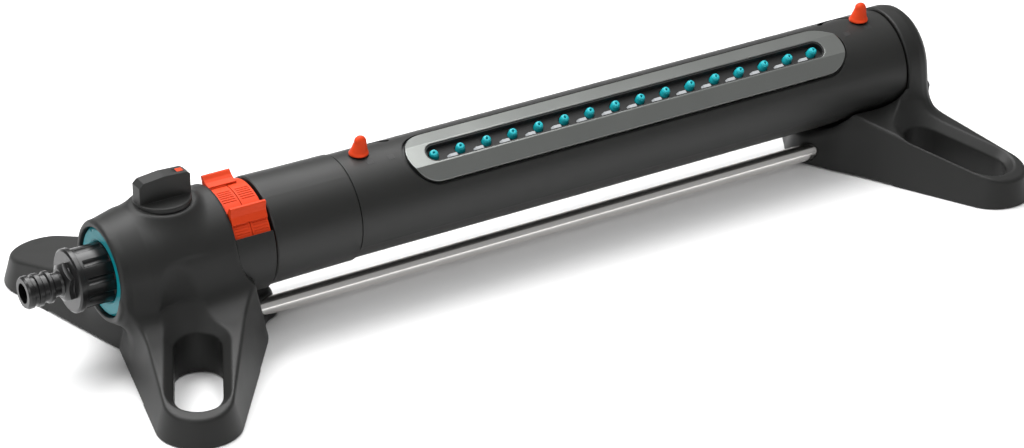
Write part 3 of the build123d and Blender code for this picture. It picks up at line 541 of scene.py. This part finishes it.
def local_axes(joint):
    """A lever's pivot in millimetres, and its frame: along the tube, across it, and outward."""
    out = Vector(joint["axis"]).normalized()
    along = Vector((1.0, 0.0, 0.0))
    return Vector(joint["pos_m"]) / MM, along, out.cross(along), out


def cap_field(face):
    """A thumb cap: a leaning rounded fin on a flared skirt."""
    def field(u, v, w):
        u0 = face * LEVER_ARM
        t = np.clip((w - CAP_Z) / CAP_RISE, 0.0, 1.0)
        fin = np.sqrt((u - u0 - CAP_LEAN * t) ** 2 + (v * CAP_SQUEEZE) ** 2
                      + (w - CAP_Z - CAP_RISE * t) ** 2) - (CAP_R - CAP_TAPER * t)
        r = np.hypot(u - u0, v)
        skirt = smooth_max(r - (SKIRT_R - SKIRT_TAPER * (w - SKIRT_Z)), w - SKIRT_TOP, SKIRT_EDGE)
        body = smooth_max(smooth_min(fin, skirt, CAP_BLEND), CAP_FLOOR - w, CAP_FLOOR_EDGE)
        return np.maximum(body, -np.maximum(r - POST_R, w - SKIRT_TOP))
    return field


def place_local(obj, joint):
    """Move a piece drawn in a lever's frame to its place."""
    origin, along, across, out = local_axes(joint)
    turn = Matrix((along, across, out)).transposed().to_4x4()
    obj.data.transform(Matrix.Translation(origin * MM) @ turn)


JOINTS = {joint["name"]: joint for joint in frame["joints"]}
FINE = 0.28
for end, face in (("inlet", -1), ("far", 1)):
    mid = face * LEVER_ARM
    cap = sculpt(f"width_cap_{end}_form", cap_field(face), (mid - CAP_REACH, -CAP_REACH, CAP_LOW),
                 (mid + CAP_REACH, CAP_REACH, CAP_HIGH), FINE)
    place_local(cap, JOINTS[f"width_lever_{end}_turn"])
    settle(cap, f"width_lever_{end}", "orange_plastic", f"width_cap_{end}")


# ---- Marks on the tube ----

def tube_point(x, phi, radius):
    """A point on the tube, in metres; phi is degrees from +Z towards -Y."""
    a = radians(phi)
    return (x * MM, -radius * sin(a) * MM, (AXIS_Z + radius * cos(a)) * MM)


def tick(name, x, phi0, phi1, width, radius, slot):
    """A thin curved mark round the tube, from one angle to another."""
    verts = []
    for i in range(MARK_STEPS + 1):
        phi = phi0 + (phi1 - phi0) * i / MARK_STEPS
        for r in (radius, radius + MARK_THICK):
            verts += [tube_point(x - width / 2, phi, r), tube_point(x + width / 2, phi, r)]
    faces = []
    for i in range(MARK_STEPS):
        a, b = 4 * i, 4 * i + 4
        faces += [(a, b, b + 1, a + 1), (a + 2, a + 3, b + 3, b + 2), (a, a + 2, b + 2, b),
                  (a + 1, b + 1, b + 3, a + 3)]
    last = 4 * MARK_STEPS
    faces += [(0, 1, 3, 2), (last, last + 2, last + 3, last + 1)]
    mesh = bpy.data.meshes.new(name)
    mesh.from_pydata(verts, [], faces)
    obj = bpy.data.objects.new(name, mesh)
    bpy.context.scene.collection.objects.link(obj)
    settle(obj, "spray_tube", slot)


for name, mark in DIAL_TICKS.items():
    tick(name, *mark)
for index, (x, phi) in enumerate(WIDTH_MARKS):
    tick(f"width_mark_{index}", x, phi - MARK_HALF_TURN, phi + MARK_HALF_TURN, MARK_W,
         TUBE_R - MARK_SUNK, "black_plastic")


# ---- Floor, light and camera ----

def add_floor():
    """A plain, flat, pale floor."""
    size = FLOOR_HALF
    mesh = bpy.data.meshes.new("floor")
    mesh.from_pydata([(-size, -size, 0), (size, -size, 0), (size, size, 0), (-size, size, 0)], [],
                     [(0, 1, 2, 3)])
    floor = bpy.data.objects.new("floor", mesh)
    bpy.context.scene.collection.objects.link(floor)
    mat = bpy.data.materials.new("floor_look")
    mat.use_nodes = True
    shader = mat.node_tree.nodes["Principled BSDF"]
    shader.inputs["Base Color"].default_value = FLOOR_COLOUR
    shader.inputs["Roughness"].default_value = FLOOR_ROUGHNESS
    mesh.materials.append(mat)


def add_area(name, place, size, energy):
    """A soft rectangular light that looks at the object."""
    light = bpy.data.lights.new(name, "AREA")
    light.shape = "RECTANGLE"
    light.size, light.size_y = size
    light.energy = energy
    obj = bpy.data.objects.new(name, light)
    obj.location = place
    obj.rotation_euler = (Vector(LIGHT_TARGET) - Vector(place)).to_track_quat("-Z", "Y").to_euler()
    bpy.context.scene.collection.objects.link(obj)


def add_world():
    """An even pale sky."""
    world = bpy.data.worlds.new("studio")
    world.use_nodes = True
    back = world.node_tree.nodes["Background"]
    back.inputs["Color"].default_value = SKY_COLOUR
    back.inputs["Strength"].default_value = SKY_STRENGTH
    bpy.context.scene.world = world


def set_view():
    """Plain display colours, so that a saturated plastic keeps its colour."""
    bpy.context.scene.view_settings.view_transform = "Standard"


def add_camera():
    """The photograph's view."""
    data = bpy.data.cameras.new("camera")
    data.sensor_width = SENSOR_MM
    data.lens = LENS_MM
    camera = bpy.data.objects.new("camera", data)
    camera.location = CAMERA_AT
    camera.rotation_euler = Euler((CAMERA_TILT, 0.0, CAMERA_TURN))
    bpy.context.scene.collection.objects.link(camera)
    bpy.context.scene.camera = camera


set_view()
add_floor()
add_world()
for name, light in LIGHTS.items():
    add_area(name, *light)
add_camera()
